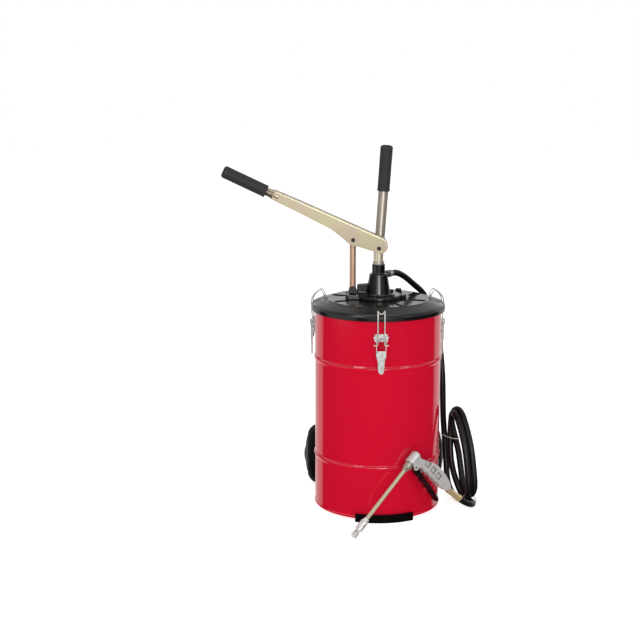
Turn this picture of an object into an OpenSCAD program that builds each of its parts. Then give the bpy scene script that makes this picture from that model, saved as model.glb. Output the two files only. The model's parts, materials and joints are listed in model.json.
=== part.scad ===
// Hand-lever gear oil pump on a wheeled oil drum, with its hose and dispensing gun.
// Millimetres. The origin is on the drum's axis at floor level, +Z is up, -Y is the front
// (the side with the foot and one of the three latches) and the lever points to -X.

/* [Drum] */
// Outer diameter of the drum
drum_d = 300; // [280:1:310]
// Height of the drum's wall, without the part inside the lid
drum_h = 475; // [440:5:500]
// Wall thickness of the drum
drum_wall = 1.2; // [0.8:0.1:2]
// Height of the drum's lower edge above the floor
drum_lift = 8; // [6:1:10]
// Height of the lower rolled hoop
hoop_low_z = 132; // [100:1:180]
// Height of the upper rolled hoop
hoop_high_z = 369; // [320:1:420]
// How far a hoop stands out
hoop_out = 2.5; // [1:0.5:3]

/* [Lid] */
// Outer radius of the lid's rim
lid_r = 159.3; // [157:0.1:161]
// Radius of the raised flat middle
plateau_r = 122; // [110:1:130]
// Height of the flat middle above the rim's lower edge
lid_rise = 26; // [22:1:30]
// Sheet thickness of the lid
lid_t = 1.5; // [1:0.1:3]
// Number of pressed ribs on the lid
lid_ribs = 8; // [4:1:12]

/* [Pump] */
// Height of the casting above the lid
head_h = 81; // [75:1:90]
// Outer radius of the pump tube
tube_r = 20; // [18:0.5:22]
// Radius of the piston rod
rod_r = 6; // [5:0.5:8]
// Radius of the rod head inside the lever
rod_head_r = 11.2; // [10:0.1:11.2]
// Distance from the rod's axis to the fulcrum link
link_x = 61; // [58:0.5:64]
// Radius of the fulcrum link's bar
link_r = 8.25; // [7:0.25:8.25]
// Radius of the lever's two pins
pin_r = 5; // [4:0.5:5]

/* [Handles] */
// Outer radius of the rubber grips
grip_r = 15.2; // [14:0.1:17]
// Length of the rubber grips
grip_len = 112; // [100:1:120]
// Outer radius of the handle tubes
handle_r = 12; // [10:0.5:12.5]
// Outer width of the pressed lever
lever_w = 27; // [27:0.5:29]
// Sheet thickness of the lever
lever_t = 2; // [1.5:0.25:2]

/* [Wheels and foot] */
// Wheel radius
wheel_r = 74; // [70:1:78]
// Width of the wheel
wheel_w = 50; // [44:1:52]
// Outer faces of the wheels, from the middle
wheel_x = 178; // [175:1:185]
// Distance of the axle behind the drum's axis
axle_y = 160; // [158:1:170]
// Axle radius
axle_r = 6; // [5:0.5:8]

/* [Latches] */
// Angle from the front latch round to each side latch
side_latch_angle = 105; // [100:1:120]
// Radius of the bail wire
wire_r = 1.5; // [1:0.1:2]

/* [Hose and gun] */
// Outer diameter of the hose
hose_d = 15; // [12:0.5:18]
// Thickness of the tied hank of hose
hank_t = 34; // [30:1:40]
// Radius of the lance
lance_r = 4.5; // [4:0.25:6]
// Width of the gun's die-cast handle
gun_w = 21; // [18:1:24]

/* [Hidden] */
$fn = 64;
e = 0.01; // a hair, so that a cutter passes a face

drum_r = drum_d / 2;
latch_angles = [-90, -90 - side_latch_angle, -90 + side_latch_angle];
rim_z = drum_lift + drum_h;         // lower edge of the lid's rim
top_z = rim_z + lid_rise;           // flat middle of the lid
shell_top_z = rim_z + 6;            // the drum's curl, inside the lid's rim
floor_z = drum_lift + 6;            // underside of the drum's bottom
neck_z = top_z + head_h;            // top of the casting's neck
cone_z = top_z + 59;
flange_z = top_z + 9;
shoulder_z = top_z + 36;            // where the pump tube seats in the casting
rod_pin_z = 629;
fulcrum_z = 649;
base_pin_z = 530;
tube_foot_z = 46;
piston_z = 66;

// ---------- Shared shapes ----------

// A cylinder along Y, centred on Y = 0
module y_cyl(r, w) rotate([90, 0, 0]) cylinder(r = r, h = w, center = true);

// A cylinder along X, centred on X = 0
module x_cyl(r, w) rotate([0, 90, 0]) cylinder(r = r, h = w, center = true);

// A plate in the XZ plane, centred on Y = 0
module xz_plate(w, points) rotate([90, 0, 0]) linear_extrude(w, center = true) polygon(points);

function unit(v) = v / norm(v);
// The direction of a path at point i
function heading(path, i) =
    unit(path[min(i + 1, len(path) - 1)] - path[max(i - 1, 0)]);
// A direction across the path that turns as little as it can from point to point
function across(path, i) = let (t = heading(path, i),
    before = i == 0 ? (abs(t.z) < 0.9 ? [0, 0, 1] : [1, 0, 0]) : across(path, i - 1))
    unit(before - t * (before * t));
function ring_at(path, i, r, n) = let (t = heading(path, i), a = across(path, i), b = cross(t, a))
    [for (k = [0:n - 1]) path[i] + r * (cos(360 * k / n) * a + sin(360 * k / n) * b)];
// A round tube along a path, with n sides
module tube(path, r, n) {
    m = len(path);
    polyhedron(
        points = [for (i = [0:m - 1]) each ring_at(path, i, r, n)],
        faces = concat([[for (k = [0:n - 1]) k]],
            [for (i = [0:m - 2]) for (k = [0:n - 1])
                [i * n + k, (i + 1) * n + k, (i + 1) * n + (k + 1) % n, i * n + (k + 1) % n]],
            [[for (k = [n - 1:-1:0]) (m - 1) * n + k]]));
}
// The part of an arc that follows its first point
function arc(c, r, a0, a1, steps) =
    [for (i = [0:steps]) c + r * [cos(a0 + (a1 - a0) * i / steps), sin(a0 + (a1 - a0) * i / steps)]];

// ---------- Drum and lid ----------

function hoop(z) = [[drum_r, z - 6], [drum_r + hoop_out, z - 2], [drum_r + hoop_out, z + 2],
    [drum_r, z + 6]];

module drum_shell() {
    inner = drum_r - drum_wall;
    outline = concat(
        [[inner, drum_lift], [drum_r + 1.5, drum_lift], [drum_r + 1.5, drum_lift + 4],
            [drum_r, drum_lift + 6]],
        hoop(hoop_low_z), hoop(hoop_high_z),
        [[drum_r, shell_top_z - 5], [drum_r + 2.5, shell_top_z - 3],
            [drum_r + 2.5, shell_top_z], [inner, shell_top_z]]);
    color("crimson") difference() {
        rotate_extrude($fn = 180) polygon(outline);
        latch_places() rivet_holes();
    }
}

module drum_bottom() {
    color("crimson") difference() {
        translate([0, 0, floor_z]) cylinder(r = drum_r - drum_wall - 0.1, h = 1.5, $fn = 180);
        foot_bolt_places() translate([0, 0, floor_z - 1]) cylinder(r = 3.1, h = 4);
    }
}

module lid() {
    rib_in = 80;
    rib_len = 37;
    seat_z = shell_top_z + 4;
    outline = [[tube_r + 1, top_z], [plateau_r - 3, top_z], [plateau_r + 2, top_z - 2],
        [154, top_z - 11], [158, top_z - 13.5], [lid_r, top_z - 17], [lid_r, rim_z],
        [lid_r - lid_t, rim_z], [lid_r - lid_t, seat_z], [144, seat_z], [144, top_z - 9.6],
        [plateau_r + 1.5, top_z - 3.6], [plateau_r - 3.4, top_z - lid_t],
        [tube_r + 1, top_z - lid_t]];
    color("#26262a") difference() {
        union() {
            rotate_extrude($fn = 180) polygon(outline);
            for (i = [0:lid_ribs - 1]) rotate(i * 360 / lid_ribs - 19.5)
                translate([rib_in, -2, top_z - e]) cube([rib_len, 4, 1.3]);
        }
        head_bolt_places() translate([0, 0, top_z - 5]) cylinder(r = 3.6, h = 10);
        plug_place() translate([0, 0, top_z - 5]) cylinder(r = 6.5, h = 10);
    }
}

module lid_gasket() {
    color("#181818") translate([0, 0, shell_top_z]) difference() {
        cylinder(r = 157, h = 4, $fn = 180);
        translate([0, 0, -1]) cylinder(r = 145, h = 6, $fn = 180);
    }
}

module plug_place() translate([51, 53, 0]) children();

module filler_plug() {
    color("#1c1c1e") plug_place() {
        translate([0, 0, top_z - 8]) cylinder(r = 6.3, h = 9);
        translate([0, 0, top_z]) cylinder(r = 9, h = 4, $fn = 6);
        translate([0, 0, top_z + 4 - e]) cylinder(r = 7, h = 8.5);
    }
}

// ---------- Pump ----------

module head_bolt_places() for (a = [45:90:315]) rotate(a) translate([44, 0, 0]) children();

module pump_head() {
    lug_w = 18;
    fork = 8.6;
    color("#202023") difference() {
        union() {
            translate([0, 0, top_z]) cylinder(r = 54, h = 9);
            translate([0, 0, flange_z - e]) cylinder(r1 = 29.5, r2 = 21, h = cone_z - flange_z);
            translate([0, 0, cone_z - 1]) cylinder(r = 15.6, h = neck_z - cone_z + 1);
            translate([0, 0, top_z]) linear_extrude(12)
                polygon([[0, -15], [-link_x - 17, -15], [-link_x - 17, 15], [0, 15]]);
            translate([-link_x - 14.7, -31.5, top_z]) cube([29.5, 40, 12.5]);
            translate([0, 0, top_z]) linear_extrude(8)
                polygon([[0, -17], [50, -13], [66, -8], [66, 8], [50, 13], [0, 17]]);
            xz_plate(12, [[-18, flange_z - 2], [-50.5, flange_z - 2], [-50.5, 542], [-16, 545]]);
            for (s = [-1, 1]) translate([-link_x, s * (fork + 2.9), 0]) {
                translate([0, 0, base_pin_z]) y_cyl(lug_w / 2, 5.8);
                translate([-lug_w / 2, -2.9, top_z + 2]) cube([lug_w, 5.8, base_pin_z - top_z - 2]);
            }
            // The boss that the steady handle is bolted to
            translate([-12, 8, 546]) cube([20, 13, 44]);
            // The outlet boss, at the right and rear
            rotate(45) translate([12, 0, 563]) rotate([0, 90, 0]) cylinder(r = 8.5, h = 16);
        }
        translate([0, 0, top_z - 1]) cylinder(r = tube_r + 0.05, h = shoulder_z - top_z + 1);
        translate([0, 0, top_z]) cylinder(r = rod_r + 2, h = 100);
        translate([0, 0, neck_z - 18]) cylinder(r = 11, h = 20);
        rotate(45) translate([0, 0, 563]) rotate([0, 90, 0]) cylinder(r = 4.5, h = 40);
        // Room for the link's lower eye, and its pin's bore
        translate([-link_x - 20, -fork, top_z + 10]) cube([29.5, 2 * fork, 60]);
        translate([-link_x, 0, base_pin_z]) y_cyl(pin_r + 0.02, 40);
        head_bolt_places() translate([0, 0, top_z - 1]) cylinder(r = 3.6, h = 14);
        steady_bolt_places() translate([0, -2, 0]) y_cyl(3, 12);
        // Flat seat for the steady handle's foot
        translate([-17, 21, 544]) cube([27.2, 20, 30]);
    }
}

module head_bolts() {
    color("#3a3a3c") head_bolt_places() {
        translate([0, 0, top_z - 9]) cylinder(r = 3.5, h = 19);
        translate([0, 0, flange_z]) cylinder(r = 6.5, h = 4.5, $fn = 6);
        translate([0, 0, top_z - lid_t - 4.5]) cylinder(r = 6.5, h = 4.5, $fn = 6);
    }
}

module gland_packing() {
    color("#4a4540") translate([0, 0, neck_z - 18]) difference() {
        cylinder(r = 10.95, h = 8);
        translate([0, 0, -1]) cylinder(r = rod_r + 0.08, h = 10);
    }
}

module gland_nut() {
    color("#d8d4c8") difference() {
        union() {
            translate([0, 0, neck_z - 10]) cylinder(r = 10.95, h = 11);
            translate([0, 0, neck_z]) cylinder(r = 13.8, h = 6.6);
        }
        translate([0, 0, neck_z - 11]) cylinder(r = rod_r + 0.3, h = 20);
    }
}

module pump_tube() {
    color("silver") translate([0, 0, tube_foot_z]) difference() {
        cylinder(r = tube_r, h = shoulder_z - tube_foot_z);
        translate([0, 0, -1]) cylinder(r = tube_r - 2, h = shoulder_z - tube_foot_z + 2);
        // Outlet slots at the top of the tube
        for (a = [0:90:270]) rotate(a) translate([tube_r - 4, -4, 474]) cube([6, 8, 10]);
    }
}

module foot_valve_body() {
    color("#b8a468") translate([0, 0, tube_foot_z - 12]) difference() {
        union() {
            cylinder(r = tube_r + 2, h = 12);
            cylinder(r = tube_r - 2.1, h = 18);
        }
        translate([0, 0, -1]) cylinder(r = 6, h = 12);
        translate([0, 0, 8]) cylinder(r = 10, h = 12);
    }
}

module foot_valve_ball() {
    color("#d0d0d0") translate([0, 0, tube_foot_z + 1.2]) sphere(r = 7.9);
}

module strainer() {
    color("#9a9a90") translate([0, 0, 20]) difference() {
        cylinder(r = 18, h = tube_foot_z - 12 - 20);
        translate([0, 0, 1.2]) cylinder(r = 16.8, h = 30);
        for (a = [0:30:330]) rotate(a) translate([15, -1.5, 3]) cube([5, 3, 8]);
    }
}

module piston() {
    color("#a8a8a8") translate([0, 0, piston_z]) difference() {
        cylinder(r = tube_r - 2.08, h = 24);
        for (z = [5, 14]) translate([0, 0, z]) difference() {
            cylinder(r = 25, h = 5);
            cylinder(r = 14, h = 5);
        }
        for (a = [0:60:300]) rotate(a) translate([10.5, 0, -1]) cylinder(r = 2, h = 26);
        translate([0, 0, 10]) cylinder(r = rod_r, h = 20);
    }
}

module piston_seals() {
    color("#1a1a1a") for (z = [5, 14]) translate([0, 0, piston_z + z]) difference() {
        cylinder(r = tube_r - 2.05, h = 5);
        translate([0, 0, -1]) cylinder(r = 14, h = 7);
    }
}

module piston_rod() {
    color("#dcdcdc") translate([0, 0, piston_z + 10])
        cylinder(r = rod_r, h = neck_z + 22 - piston_z - 10);
}

module rod_head() {
    slot_x = 3.6;
    slot_r = pin_r + 0.7;
    color("#c2a14e") difference() {
        translate([0, 0, neck_z + 7]) cylinder(r = rod_head_r, h = 44);
        translate([0, 0, neck_z]) cylinder(r = rod_r, h = 22);
        translate([1, 0, rod_pin_z]) {
            for (s = [-1, 1]) translate([s * slot_x, 0, 0]) y_cyl(slot_r, 40);
            cube([2 * slot_x, 40, 2 * slot_r], center = true);
        }
    }
}

// ---------- Lever ----------

// The lever's side, from the grip to the nose
lever_top = [[-258, 772], [-185, 740.8], [-115, 709.4], [-68, 688.4], [-25, 669.2]];
lever_low = [[-12, 621.5], [-49, 633], [-62, 636.5], [-72, 641.5], [-84, 652], [-114, 675.5],
    [-185, 712], [-249, 743.5]];
nose_at = [1.5, 635.5];
lever_nose = arc(nose_at, 20, 62, -78, 10);
lever_slope = -25.4;
grip_start = [-264, 762];
lever_tube_r = 9.4;

module lever_pins_at() for (p = [[-link_x, fulcrum_z], [0, rod_pin_z]])
    translate([p[0], 0, p[1]]) children();

module lever() {
    inner_top = [for (p = lever_top) p + lever_t * [-0.42, -0.91]];
    inner_nose = arc(nose_at, 20 - lever_t, 60, -12, 8);
    outer_nose = arc(nose_at, 20, 62, -12, 8);
    color("#c6b46a") difference() {
        union() {
            for (s = [-1, 1]) translate([0, s * (lever_w - lever_t) / 2, 0])
                xz_plate(lever_t, concat(lever_top, lever_nose, lever_low));
            xz_plate(lever_w, concat(lever_top, outer_nose,
                [for (i = [len(inner_nose) - 1:-1:0]) inner_nose[i]],
                [for (i = [len(inner_top) - 1:-1:0]) inner_top[i]]));
        }
        lever_pins_at() y_cyl(pin_r + 0.02, 60);
    }
}

// Places a child along the handle's axis, its origin at the grip's inner end, +X to the grip's end
module on_handle() translate([grip_start[0], 0, grip_start[1]]) rotate([0, -lever_slope - 180, 0])
    mirror([0, 0, 1]) children();

module lever_tube() {
    color("#bfae68") on_handle() rotate([0, 90, 0]) difference() {
        translate([0, 0, -34]) cylinder(r = lever_tube_r, h = grip_len + 30);
        translate([0, 0, -40]) cylinder(r = lever_tube_r - 2, h = grip_len + 50);
    }
}

module lever_grip() {
    color("#2b2d30") on_handle() rotate([0, 90, 0]) difference() {
        cylinder(r = grip_r, h = grip_len);
        translate([0, 0, -1]) cylinder(r = lever_tube_r, h = grip_len - 3);
    }
}

module lever_pins() color("#5c5b55") lever_pins_at() y_cyl(pin_r, lever_w - 2.2);

module fulcrum_link() {
    eye_w = 16.4;
    color("#c08a72") difference() {
        translate([-link_x, 0, 0]) {
            translate([0, 0, base_pin_z]) cylinder(r = link_r - 0.7, h = fulcrum_z - base_pin_z);
            translate([0, 0, base_pin_z]) y_cyl(link_r, eye_w);
            translate([0, 0, fulcrum_z]) y_cyl(link_r, eye_w);
        }
        for (z = [base_pin_z, fulcrum_z]) translate([-link_x, 0, z]) y_cyl(pin_r + 0.05, 40);
    }
}

module link_base_pin() {
    color("#5a5a5c") translate([-link_x, 0, base_pin_z]) {
        y_cyl(pin_r, 30);
        translate([0, -16.4, 0]) rotate([90, 30, 0]) cylinder(r = 7.6, h = 4, center = true, $fn = 6);
        translate([0, 16.4, 0]) rotate([90, 30, 0]) cylinder(r = 7.6, h = 4, center = true, $fn = 6);
    }
}

// ---------- Steady handle ----------

steady_lean = 3.8;
steady_foot = [-2, 33, 556];

module on_steady() translate(steady_foot) rotate([0, steady_lean, 0]) children();

module steady_bolt_places() for (z = [8, 26]) on_steady() translate([0, -12, z]) children();

module steady_tube() {
    flat_h = 42;
    color("#cbbca8") difference() {
        on_steady() {
            translate([0, 0, flat_h]) cylinder(r = handle_r, h = 264);
            translate([-11, -handle_r, -6]) cube([22, 7, flat_h + 20]);
        }
        steady_bolt_places() y_cyl(3, 40);
        on_steady() translate([0, 0, flat_h + 20]) cylinder(r = handle_r - 2, h = 260);
    }
}

module steady_grip() {
    color("#2b2d30") on_steady() difference() {
        translate([0, 0, 204]) cylinder(r = grip_r, h = 108);
        translate([0, 0, 203]) cylinder(r = handle_r, h = 104);
    }
}

module steady_bolts() {
    color("#8c8c88") steady_bolt_places() {
        translate([0, 0.5, 0]) y_cyl(2.95, 17);
        translate([0, 9.2, 0]) rotate([90, 0, 0]) cylinder(r = 5.8, h = 4, center = true, $fn = 6);
    }
}

// ---------- Outlet ----------

module on_outlet() rotate(45) translate([0, 0, 563]) rotate([0, 90, 0]) children();

module outlet_adapter() {
    color("#8f8f88") on_outlet() difference() {
        union() {
            translate([0, 0, 28]) cylinder(r = 9, h = 8, $fn = 6);
            translate([0, 0, 17]) cylinder(r = 4.45, h = 12);
            translate([0, 0, 36 - e]) cylinder(r = 5, h = 10);
        }
        translate([0, 0, 10]) cylinder(r = 2.5, h = 40);
        translate([0, 0, 19]) cylinder(r = 4, h = 9);
    }
}

module outlet_ball() color("#d0d0d0") on_outlet() translate([0, 0, 21.35]) sphere(r = 3.4);

module outlet_spring() {
    turns = 3;
    color("#b0b0b0") on_outlet()
        tube([for (i = [0:12 * turns]) [2.9 * cos(30 * i), 2.9 * sin(30 * i), 24.9 + i * 0.075]],
            0.35, 6);
}

module hose_ferrule() {
    color("#cfcfc6") on_outlet() difference() {
        union() {
            translate([0, 0, 36]) cylinder(r = 9, h = 3);
            translate([0, 0, 38]) cylinder(r = 8.4, h = 8);
        }
        translate([0, 0, 30]) cylinder(r = 5.03, h = 20);
    }
}

// ---------- Latches ----------

pivot_r = 160;      // the latch lever's pivot, from the drum's axis
pivot_z = 447;
bail_pivot_r = 157; // the bail's pivot on the latch lever
bail_pivot_z = 428;

// Puts a latch drawn for the +X side at its own angle
module at_latch(i) rotate(latch_angles[i]) children();
module latch_places() for (i = [0:2]) at_latch(i) children();

rivet_z = 444.5;

module rivet_holes() for (s = [-1, 1]) translate([140, s * 4.4, rivet_z]) rotate([0, 90, 0])
    cylinder(r = 2, h = 20);

module latch_base(i) {
    color("#c9ccd0") at_latch(i) difference() {
        union() {
            rotate([0, 0, -5.8]) translate([0, 0, 436]) rotate_extrude(angle = 11.6, $fn = 180)
                translate([drum_r + 0.02, 0]) square([1.6, 17]);
            for (s = [-1, 1]) translate([drum_r - 0.3, s * 13.5 - 0.8, 438]) cube([15, 1.6, 15]);
        }
        rotate_extrude($fn = 180) translate([100, 370]) square([50.02, 100]);
        rivet_holes();
        translate([pivot_r, 0, pivot_z]) y_cyl(2, 50);
    }
}

module latch_pins() {
    color("#b4b7bb") latch_places() {
        for (s = [-1, 1]) translate([0, s * 4.4, rivet_z]) {
            translate([drum_r - 3, 0, 0]) rotate([0, 90, 0]) cylinder(r = 1.98, h = 5);
            translate([drum_r + 1.62, 0, 0]) rotate([0, 90, 0]) cylinder(r = 3, h = 1.2);
        }
        for (s = [-1, 1]) translate([pivot_r, s * 13.1, pivot_z]) {
            y_cyl(1.95, 7.2);
            translate([0, s * 2.7, 0]) y_cyl(3.4, 2.2);
        }
    }
}

module latch_lever(i) {
    arm_w = 1.5;
    color("#dfe2e6") at_latch(i) difference() {
        union() {
            for (s = [-1, 1]) translate([0, s * (10 + arm_w / 2), 0])
                xz_plate(arm_w, [[153.9, 424], [153.9, 451], [163.5, 451], [163.5, 403],
                    [161.5, 403], [159, 414]]);
            translate([162, 0, 0]) rotate([90, 0, 90]) linear_extrude(1.5)
                polygon([[-11.5, 416], [11.5, 416], [11.5, 403], [8.6, 396], [7.6, 384],
                    [6.6, 370], [5, 364.5], [2.5, 362], [-2.5, 362], [-5, 364.5],
                    [-6.6, 370], [-7.6, 384], [-8.6, 396], [-11.5, 403]]);
        }
        translate([pivot_r, 0, pivot_z]) y_cyl(2.05, 50);
        translate([bail_pivot_r, 0, bail_pivot_z]) y_cyl(wire_r + 0.25, 50);
    }
}

// Half of a bail, from its hook's wire to its pivot: distance out, sideways, height
bail_leg = [[162.8, 7.8, 486], [161.2, 7.8, 465], [158, 7.8, 436], [157.3, 8, 431],
    [157, 8.7, 428.9], [157, 9.7, 428], [157, 12, 428], [157, 17.5, 428]];
// The front hook holds the lid's shoulder, and the side hooks reach further in over it
front_hook = [[153, 0, 500.4], [153, 2.4, 500.6], [153.1, 4.8, 502.2], [153.6, 6.8, 505],
    [154.8, 7.8, 507], [157.2, 7.8, 506.8], [160, 7.8, 502.5], [162, 7.8, 495.5]];
side_hook = [[131.5, 0, 507.2], [131.3, 2.4, 507.6], [131.4, 5, 509.2], [132.4, 7.2, 512.5],
    [134, 7.8, 516.5], [136.5, 7.8, 520.5], [140, 7.8, 522.8], [144.5, 7.8, 521.5],
    [151, 7.8, 516], [157, 7.8, 509.5], [161, 7.8, 502.5], [162.6, 7.8, 495]];

module latch_bail(i) {
    half = concat(i == 0 ? front_hook : side_hook, bail_leg);
    far_half = [for (k = [len(half) - 1:-1:1]) [half[k].x, -half[k].y, half[k].z]];
    color("#d4d7da") at_latch(i) tube(concat(far_half, half), wire_r, 10);
}

// ---------- Wheels and foot ----------

module axle_brackets() {
    color("#1e1e20") difference() {
        for (s = [-1, 1]) translate([s * 62, 0, 0]) difference() {
            translate([-3, 120, wheel_r - 26]) cube([6, axle_y - 120 + 14, 52]);
            translate([0, axle_y, wheel_r]) x_cyl(axle_r + 0.02, 20);
        }
        translate([0, 0, 20]) cylinder(r = drum_r + 0.02, h = 110, $fn = 180);
    }
}

module axle() color("#5a5a5c") translate([0, axle_y, wheel_r])
    x_cyl(axle_r, 2 * (wheel_x - 8.1));

module wheel_place(s) translate([s * wheel_x, axle_y, wheel_r]) rotate([0, -s * 90, 0]) children();

module axle_caps() {
    color("#161618") for (s = [-1, 1]) wheel_place(s) difference() {
        rotate_extrude() polygon([[0, 0], [10, 0.6], [17, 2.6], [20, 6], [20, 12], [0, 12]]);
        translate([0, 0, 8]) cylinder(r = axle_r + 0.02, h = 5);
    }
}

// A tyre whose outer face is at z = 0
module tyre(s) {
    color("#141414") wheel_place(s) rotate_extrude($fn = 96) polygon([[50, 9], [56, 10.5],
        [63, 14.5], [69, 19.5], [wheel_r - 1.2, 25], [wheel_r, 30], [wheel_r, 36],
        [wheel_r - 1.5, 41], [69, 45], [62, wheel_w - 3], [50, wheel_w - 2]]);
}

module hub(s) {
    color("#1b1b1d") wheel_place(s) difference() {
        union() {
            rotate_extrude($fn = 96) polygon([[21, 3.5], [30, 4.6], [40, 6.6], [49.95, 10],
                [49.95, wheel_w - 4], [46, wheel_w - 4], [46, 18], [20, 14], [20, 12.4], [21, 12.4]]);
            translate([0, 0, 12.4]) cylinder(r = 20.5, h = wheel_w - 12.4 - 1);
            for (a = [0:60:300]) rotate(a) translate([18, -2, 15]) cube([29, 4, 22]);
        }
        translate([0, 0, -1]) cylinder(r = axle_r + 0.06, h = 80);
    }
}

foot_centre = -85.2;
foot_span = 52.6;

module foot_bolt_places() for (s = [-1, 1]) rotate(foot_centre + s * 15) translate([140, 0, 0]) children();

module front_foot() {
    color("#121212") difference() {
        rotate(foot_centre - foot_span / 2) rotate_extrude(angle = foot_span, $fn = 180)
            polygon([[130, 0], [154.5, 0], [156, 1.5], [156, 19.5], [155, 20.5], [152.6, 20.5],
                [152.6, drum_lift], [148, drum_lift], [148, floor_z], [130, floor_z]]);
        foot_bolt_places() {
            translate([0, 0, -1]) cylinder(r = 3.1, h = 20);
            translate([0, 0, -1]) cylinder(r = 6, h = 5);
        }
    }
}

module foot_bolts() {
    color("#6a6a6c") foot_bolt_places() {
        translate([0, 0, 1]) cylinder(r = 5.8, h = 3);
        translate([0, 0, 2]) cylinder(r = 3, h = 18);
        translate([0, 0, floor_z + 1.5]) cylinder(r = 5.5, h = 4, $fn = 6);
    }
}

// ---------- Gun, drawn with its lance upright and its handle to +X ----------

// Puts the gun's tip on the floor in front of the drum, leaning back
module at_gun() translate([-65, -258, 7]) rotate([-9.5, 49.7, 25.3]) children();
// Places the parts above the lance, which are drawn 6 mm higher than they sit
module at_gun_head() at_gun() translate([0, 0, -6]) children();

gun_grip_axis = [122, 254];
gun_grip_turn = -10;

module gun_body() {
    handle = concat([[6, 238], [14, 233], [24, 234.5], [32, 239.5], [41, 237], [50, 241.5],
        [60, 238.5], [70, 242.5], [80, 240], [90, 243.5], [101, 241.5], [112, 245.5], [120, 246.5]],
        [[127, 250], [129, 257], [126, 263], [118, 267], [107, 270], [95, 272], [82, 273],
            [70, 272.8], [57, 271], [44, 267], [32, 261.5], [22, 256], [12, 252], [6, 252]]);
    color("#aeb2b6") at_gun_head() difference() {
        union() {
            translate([0, 0, 226]) cylinder(r = 12.5, h = 26);
            xz_plate(gun_w, handle);
            translate([18, 0, 229]) y_cyl(7, gun_w - 6);
        }
        // Weight-saving pockets on both sides
        for (s = [-1, 1]) for (x = [36, 58, 80])
            translate([x, s * gun_w / 2, 256]) cube([14, 5, 14], center = true);
        // Fork for the trigger
        translate([6, -3.6, 215]) cube([120, 7.2, 20]);
        translate([40, 0, 230]) cylinder(r = 2.6, h = 22);
        translate([18, 0, 229]) y_cyl(2.5, 50);
        translate([0, 0, 220]) cylinder(r = 6.05, h = 30);
        translate([gun_grip_axis[0], 0, gun_grip_axis[1]]) rotate([0, 90 + gun_grip_turn, 0])
            translate([0, 0, -16]) cylinder(r = 5, h = 40);
    }
}

module gun_head_cap() {
    color("#9fa3a8") at_gun_head() translate([0, 0, 252]) {
        cylinder(r = 11, h = 2.4);
        translate([0, 0, 2.4 - e]) cylinder(r = 8, h = 3, $fn = 6);
    }
}

module gun_trigger() {
    blade = [[11.5, 229], [14, 223], [22, 219], [34, 217.5], [44, 220], [54, 216], [64, 218.5],
        [74, 214.5], [84, 217], [94, 213], [104, 214.5], [115, 211], [124, 212.5], [127, 217],
        [122, 222], [106, 225], [80, 228.5], [56, 230], [38, 231.2], [26, 232.4], [18, 234.8]];
    color("#4a1620") at_gun_head() difference() {
        union() {
            xz_plate(6.6, blade);
            translate([72, 0, 0]) xz_plate(12, [[-36, 218.6], [-28, 220], [-18, 216.5], [-8, 219],
                [2, 215], [12, 217.5], [22, 213.5], [32, 215], [43, 211.6], [51, 213.2],
                [53.6, 217], [49, 221], [34, 223.5], [8, 226.6], [-16, 228.6], [-34, 229]]);
        }
        translate([18, 0, 229]) y_cyl(2.55, 30);
    }
}

module gun_valve_pin() {
    color("#c8c8c8") at_gun_head() {
        translate([40, 0, 231.9]) cylinder(r = 2.5, h = 14);
    }
}

module lance() {
    color("#c9a766") at_gun() translate([0, 0, 44]) difference() {
        cylinder(r = lance_r, h = 184);
        translate([0, 0, -1]) cylinder(r = lance_r - 1.5, h = 200);
    }
}

module lance_nuts() {
    color("#d8d6d0") at_gun_head() difference() {
        union() {
            translate([0, 0, 203]) cylinder(r = 6.8, h = 9, $fn = 6);
            translate([0, 0, 212]) cylinder(r = 9.6, h = 12);
            translate([0, 0, 224 - e]) cylinder(r = 6, h = 14);
        }
        translate([0, 0, 200]) cylinder(r = lance_r + 0.03, h = 50);
    }
}

module nozzle() {
    color("#e0e2e4") at_gun() difference() {
        union() {
            cylinder(r = 8, h = 12);
            translate([0, 0, 12 - e]) cylinder(r = 6.2, h = 8);
            translate([0, 0, 20 - e]) cylinder(r = 9.2, h = 24, $fn = 8);
            translate([0, 0, 44 - 2 * e]) cylinder(r1 = 8, r2 = 6, h = 8);
        }
        translate([0, 0, 44]) cylinder(r = lance_r + 0.03, h = 20);
        translate([0, 0, -1]) cylinder(r = 3, h = 50);
    }
}

module on_gun_grip() at_gun_head() translate([gun_grip_axis[0], 0, gun_grip_axis[1]])
    rotate([0, 90 + gun_grip_turn, 0]) children();

module gun_swivel() {
    color("#b89a4c") on_gun_grip() difference() {
        union() {
            translate([0, 0, -14]) cylinder(r = 4.95, h = 24);
            translate([0, 0, 7.4]) cylinder(r = 8.2, h = 9, $fn = 6);
            translate([0, 0, 16.4 - e]) cylinder(r = 7.6, h = 28);
            translate([0, 0, 44.4 - 2 * e]) cylinder(r = 8.6, h = 8);
        }
        translate([0, 0, -20]) cylinder(r = 3, h = 66);
    }
}

// ---------- Hose ----------

// The hose from the outlet, over the rim and down behind the drum's right side to the floor
hose_route = [[33, 33, 563], [46, 47, 561], [60, 62, 553], [74, 78, 541], [87, 93, 528],
    [98, 105, 517], [108, 116, 507], [118, 125, 494], [128, 129.5, 476], [138, 128, 455],
    [148, 121, 425], [155, 110, 392], [159.5, 99, 358], [162.5, 90, 324], [164.6, 84, 289],
    [165.8, 81, 253], [166.6, 79, 217], [168.4, 78, 181], [171.4, 76, 146], [174, 70, 111],
    [175.3, 62, 82], [176.5, 52, 56], [179, 41, 35], [185, 29, 19.5], [193, 15, 10.5]];
// From the gun's swivel into the bottom of the hank
lead_route = [[193, -89, 38.6], [201, -84.6, 31.5], [209.5, -79, 25], [218.5, -70, 18.4],
    [226, -58.5, 13.2], [230.5, -46.5, 9.9], [232, -34.5, 8.3], [230, -23, 8]];
hank_place = [207.5, 8];
hank_turn = -65;

module hose_run() {
    color("#161616") tube(hose_route, hose_d / 2, 12);
}

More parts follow.
